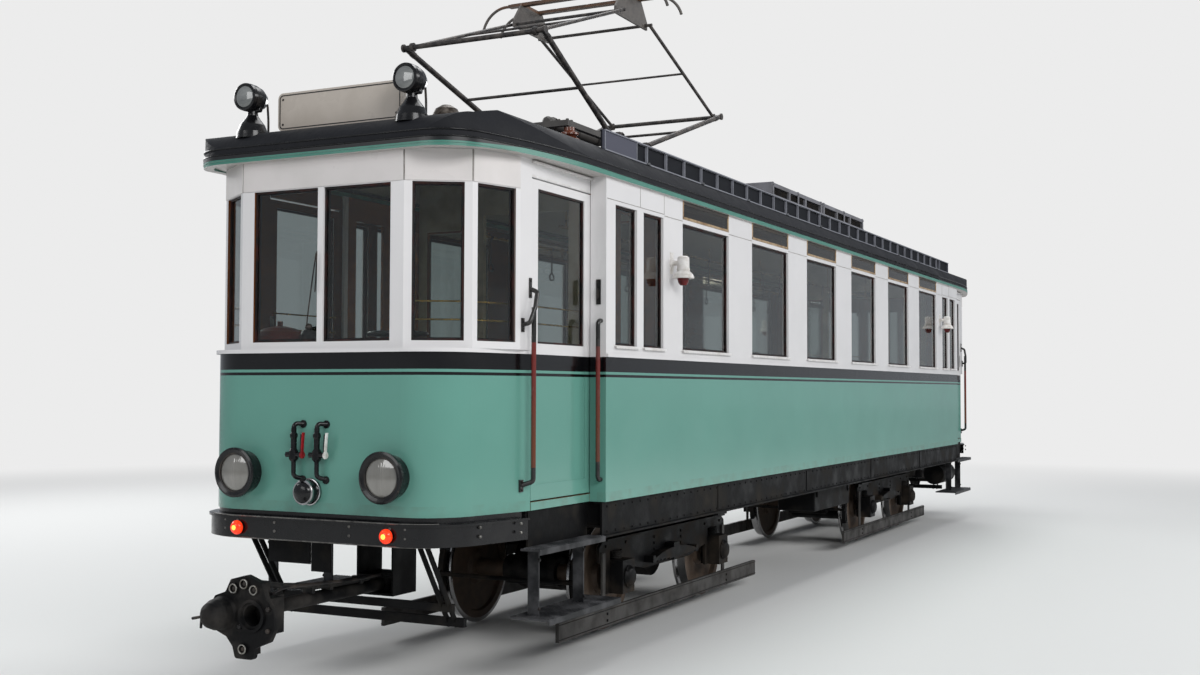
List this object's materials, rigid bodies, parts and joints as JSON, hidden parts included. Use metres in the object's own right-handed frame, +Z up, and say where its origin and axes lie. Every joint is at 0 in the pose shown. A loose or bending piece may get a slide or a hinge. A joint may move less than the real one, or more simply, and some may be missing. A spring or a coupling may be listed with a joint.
{
  "type": "four-axle electric tram car",
  "caption": "Double-ended metre-gauge tram car on two bogies, with sliding platform doors, roof resistors, a folding pantograph and centre couplers.",
  "frame": {"origin": "centre of the car on the floor under the wheel flanges", "axes": "+X along the car to the rear end, -X is the end seen in the picture, +Z up; the side seen in the picture is -Y"},
  "size_m": [14.69, 2.5276, 4.7389],
  "materials": {
    "cream_paint": "semi-gloss cream paint",
    "green_paint": "gloss sea-green paint",
    "black_paint": "gloss black paint",
    "grey_paint": "matt grey paint, worn",
    "underframe_steel": "dirty black chassis paint",
    "roof_canvas": "tarred canvas",
    "floor_wood": "worn boards",
    "varnished_wood": "clear varnish",
    "glass": "clear",
    "wheel_steel": "dull, treads polished",
    "cast_iron": "dirty casting",
    "steel_tube": "weathered",
    "handrail_red": "red-brown paint",
    "board_cream": "blank, pale beige"
  },
  "bodies": {
    "car_body": {"underframe": "underframe_steel", "floor": "floor_wood", "front_end": "green_paint", "rear_end": "green_paint", "side_wall_left": "green_paint", "side_wall_right": "green_paint", "cornice": "green_paint", "pocket_linings": "varnished_wood", "roof": "roof_canvas", "partitions": "cream_paint", "seats": "varnished_wood", "driver_stands": "black_paint", "window_vents": "varnished_wood", "glass_left": "glass", "glass_right": "glass", "glass_front": "glass", "glass_rear": "glass", "bumpers": "black_paint", "steps": "grey_paint", "lifeguards": "black_paint", "headlamps": "black_paint", "end_fittings": "black_paint", "handrails": "handrail_red", "side_lamps": "cream_paint", "roof_rails": "steel_tube", "resistor_boxes": "grey_paint", "destination_boards": "board_cream", "roof_lamps": "black_paint", "bells": "cast_iron", "pantograph_base": "steel_tube"},
    "bogie_front": {"bogie_frame_front": "underframe_steel", "motors_front": "cast_iron", "guard_boards_front": "grey_paint"},
    "bogie_rear": {"bogie_frame_rear": "underframe_steel", "motors_rear": "cast_iron", "guard_boards_rear": "grey_paint"},
    "axle_1": {"wheelset_1": "wheel_steel"},
    "axle_2": {"wheelset_2": "wheel_steel"},
    "axle_3": {"wheelset_3": "wheel_steel"},
    "axle_4": {"wheelset_4": "wheel_steel"},
    "door_front_left": {"door_front_left": "green_paint"},
    "door_front_right": {"door_front_right": "green_paint"},
    "door_rear_left": {"door_rear_left": "green_paint"},
    "door_rear_right": {"door_rear_right": "green_paint"},
    "coupler_front": {"coupler_front": "cast_iron"},
    "coupler_rear": {"coupler_rear": "cast_iron"},
    "lower_arm_front": {"lower_arm_front": "steel_tube"},
    "lower_arm_rear": {"lower_arm_rear": "steel_tube"},
    "upper_arm_front": {"upper_arm_front": "steel_tube"},
    "upper_arm_rear": {"upper_arm_rear": "steel_tube"},
    "collector_head": {"collector_head": "steel_tube"}
  },
  "joints": [
    {"name": "bogie_front_pivot", "type": "hinge", "parent": "car_body", "child": "bogie_front", "pos_m": [-3.18, 0, 0.7], "axis": [0, 0, 1], "range_deg": [-12, 12]},
    {"name": "bogie_rear_pivot", "type": "hinge", "parent": "car_body", "child": "bogie_rear", "pos_m": [3.18, 0, 0.7], "axis": [0, 0, 1], "range_deg": [-12, 12]},
    {"name": "axle_1_spin", "type": "hinge", "parent": "bogie_front", "child": "axle_1", "pos_m": [-4.08, 0, 0.405], "axis": [0, 1, 0], "continuous": true},
    {"name": "axle_2_spin", "type": "hinge", "parent": "bogie_front", "child": "axle_2", "pos_m": [-2.28, 0, 0.405], "axis": [0, 1, 0], "continuous": true},
    {"name": "axle_3_spin", "type": "hinge", "parent": "bogie_rear", "child": "axle_3", "pos_m": [2.28, 0, 0.405], "axis": [0, 1, 0], "continuous": true},
    {"name": "axle_4_spin", "type": "hinge", "parent": "bogie_rear", "child": "axle_4", "pos_m": [4.08, 0, 0.405], "axis": [0, 1, 0], "continuous": true},
    {"name": "door_front_left_slide", "type": "slide", "parent": "car_body", "child": "door_front_left", "axis": [1, 0, 0], "range_m": [0, 0.72]},
    {"name": "door_front_right_slide", "type": "slide", "parent": "car_body", "child": "door_front_right", "axis": [1, 0, 0], "range_m": [0, 0.72]},
    {"name": "door_rear_left_slide", "type": "slide", "parent": "car_body", "child": "door_rear_left", "axis": [-1, 0, 0], "range_m": [0, 0.72]},
    {"name": "door_rear_right_slide", "type": "slide", "parent": "car_body", "child": "door_rear_right", "axis": [-1, 0, 0], "range_m": [0, 0.72]},
    {"name": "coupler_front_swing", "type": "hinge", "parent": "car_body", "child": "coupler_front", "pos_m": [-5.9, 0, 0.545], "axis": [0, 0, 1], "range_deg": [-15, 15]},
    {"name": "coupler_rear_swing", "type": "hinge", "parent": "car_body", "child": "coupler_rear", "pos_m": [5.9, 0, 0.545], "axis": [0, 0, 1], "range_deg": [-15, 15]},
    {"name": "lower_arm_front_raise", "type": "hinge", "parent": "car_body", "child": "lower_arm_front", "pos_m": [-3.64, 0, 3.585], "axis": [0, 1, 0], "range_deg": [-16, 40]},
    {"name": "lower_arm_rear_raise", "type": "hinge", "parent": "car_body", "child": "lower_arm_rear", "pos_m": [-3.16, 0, 3.585], "axis": [0, 1, 0], "range_deg": [-40, 16]},
    {"name": "upper_arm_front_knee", "type": "hinge", "parent": "lower_arm_front", "child": "upper_arm_front", "pos_m": [-4.96769, 0, 4.06562], "axis": [0, 1, 0], "range_deg": [-80, 32]},
    {"name": "upper_arm_rear_knee", "type": "hinge", "parent": "lower_arm_rear", "child": "upper_arm_rear", "pos_m": [-1.83231, 0, 4.06562], "axis": [0, 1, 0], "range_deg": [-32, 80]},
    {"name": "collector_head_pivot", "type": "hinge", "parent": "upper_arm_front", "child": "collector_head", "pos_m": [-3.64, 0, 4.54623], "axis": [0, 1, 0], "range_deg": [-16, 40]}
  ],
  "couplings": [
    {"joint": "lower_arm_rear_raise", "follows": "lower_arm_front_raise", "ratio": -1},
    {"joint": "upper_arm_front_knee", "follows": "lower_arm_front_raise", "ratio": -2},
    {"joint": "upper_arm_rear_knee", "follows": "lower_arm_front_raise", "ratio": 2},
    {"joint": "collector_head_pivot", "follows": "lower_arm_front_raise", "ratio": 1}
  ]
}
